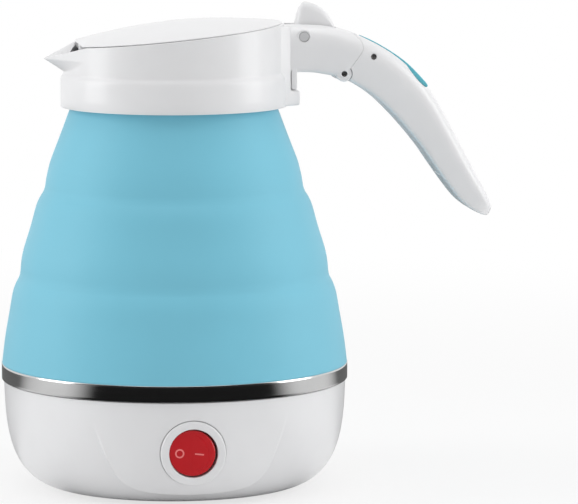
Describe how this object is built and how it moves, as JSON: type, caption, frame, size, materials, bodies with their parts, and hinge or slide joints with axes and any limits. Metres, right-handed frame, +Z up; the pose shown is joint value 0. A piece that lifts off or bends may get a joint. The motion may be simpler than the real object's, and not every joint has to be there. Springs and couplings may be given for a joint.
{
  "type": "collapsible electric kettle",
  "caption": "Travel kettle whose soft body collapses between a heated base and a spouted neck, with a flip lid and a folding handle.",
  "frame": {"origin": "on the table under the kettle's axis, at the middle of the base's resting pad", "axes": "+Z up along the kettle's axis, +X towards the handle, -X towards the spout, -Y towards the switch, +Y towards the power inlet"},
  "size_m": [0.1869, 0.1311, 0.1828],
  "materials": {
    "white_plastic": "fine satin moulded plastic",
    "inner_white": "matte moulded plastic",
    "blue_silicone": "smooth satin silicone",
    "blue_plastic": "satin moulded plastic",
    "seal_silicone": "translucent grey silicone",
    "grey_rubber": "matte rubber",
    "polished_band": "polished metal",
    "steel": "brushed stainless steel",
    "aluminium": "cast aluminium",
    "plated_brass": "nickel plated brass",
    "red_rocker": "glossy red plastic",
    "black_plastic": "matte black plastic",
    "fuse_sleeve": "woven glass sleeve",
    "brown_insulation": "heat-proof insulation",
    "blue_insulation": "heat-proof insulation"
  },
  "bodies": {
    "base": {"base_shell": "white_plastic", "base_bottom_cover": "inner_white", "base_screw_1": "steel", "base_screw_2": "steel", "base_screw_3": "steel", "foot_1": "grey_rubber", "foot_2": "grey_rubber", "foot_3": "grey_rubber", "foot_4": "grey_rubber", "trim_band": "polished_band", "heating_pan": "steel", "pan_seal": "seal_silicone", "heat_spreader": "aluminium", "heating_element": "steel", "thermostat": "black_plastic", "thermal_fuse": "fuse_sleeve", "lead_live": "brown_insulation", "lead_switched": "brown_insulation", "lead_neutral": "blue_insulation", "switch_bezel": "white_plastic", "switch_housing": "black_plastic", "inlet_housing": "black_plastic", "inlet_pin_1": "plated_brass", "inlet_pin_2": "plated_brass", "inlet_pin_3": "plated_brass", "silicone_lower_tier": "blue_silicone"},
    "middle_tier": {"silicone_middle_tier": "blue_silicone"},
    "top": {"silicone_upper_tier": "blue_silicone", "neck_clamp_ring": "inner_white", "collar": "white_plastic", "handle_bracket": "white_plastic", "bracket_screw_1": "steel", "bracket_screw_2": "steel", "lid_hinge_pin": "white_plastic", "handle_fold_pin": "steel"},
    "lid": {"lid": "white_plastic", "lid_seal": "seal_silicone"},
    "handle": {"handle_grip": "white_plastic", "handle_inner_cover": "white_plastic", "lever_pin": "steel", "lever_spring": "steel"},
    "lever": {"release_lever": "blue_plastic"},
    "rocker": {"switch_rocker": "red_rocker"}
  },
  "joints": [
    {"name": "body_collapse", "type": "slide", "parent": "base", "child": "top", "axis": [0, 0, 1], "range_m": [-0.064, 0]},
    {"name": "middle_tier_collapse", "type": "slide", "parent": "base", "child": "middle_tier", "axis": [0, 0, 1], "range_m": [-0.032, 0]},
    {"name": "lid_hinge", "type": "hinge", "parent": "top", "child": "lid", "pos_m": [0.0482, 0, 0.17], "axis": [0, 1, 0], "range_deg": [0, 70]},
    {"name": "handle_fold", "type": "hinge", "parent": "top", "child": "handle", "pos_m": [0.0634, 0, 0.156], "axis": [0, 1, 0], "range_deg": [0, 40]},
    {"name": "lever_press", "type": "hinge", "parent": "handle", "child": "lever", "pos_m": [0.0746, 0, 0.1623], "axis": [0, 1, 0], "range_deg": [0, 4], "stiffness_Nm_per_rad": 0.6, "springref_deg": -2.01},
    {"name": "switch_rock", "type": "hinge", "parent": "base", "child": "rocker", "pos_m": [0, -0.05987, 0.0219], "axis": [0, 0, 1], "range_deg": [0, 14]}
  ],
  "couplings": [
    {"joint": "middle_tier_collapse", "follows": "body_collapse", "ratio": 0.5}
  ]
}
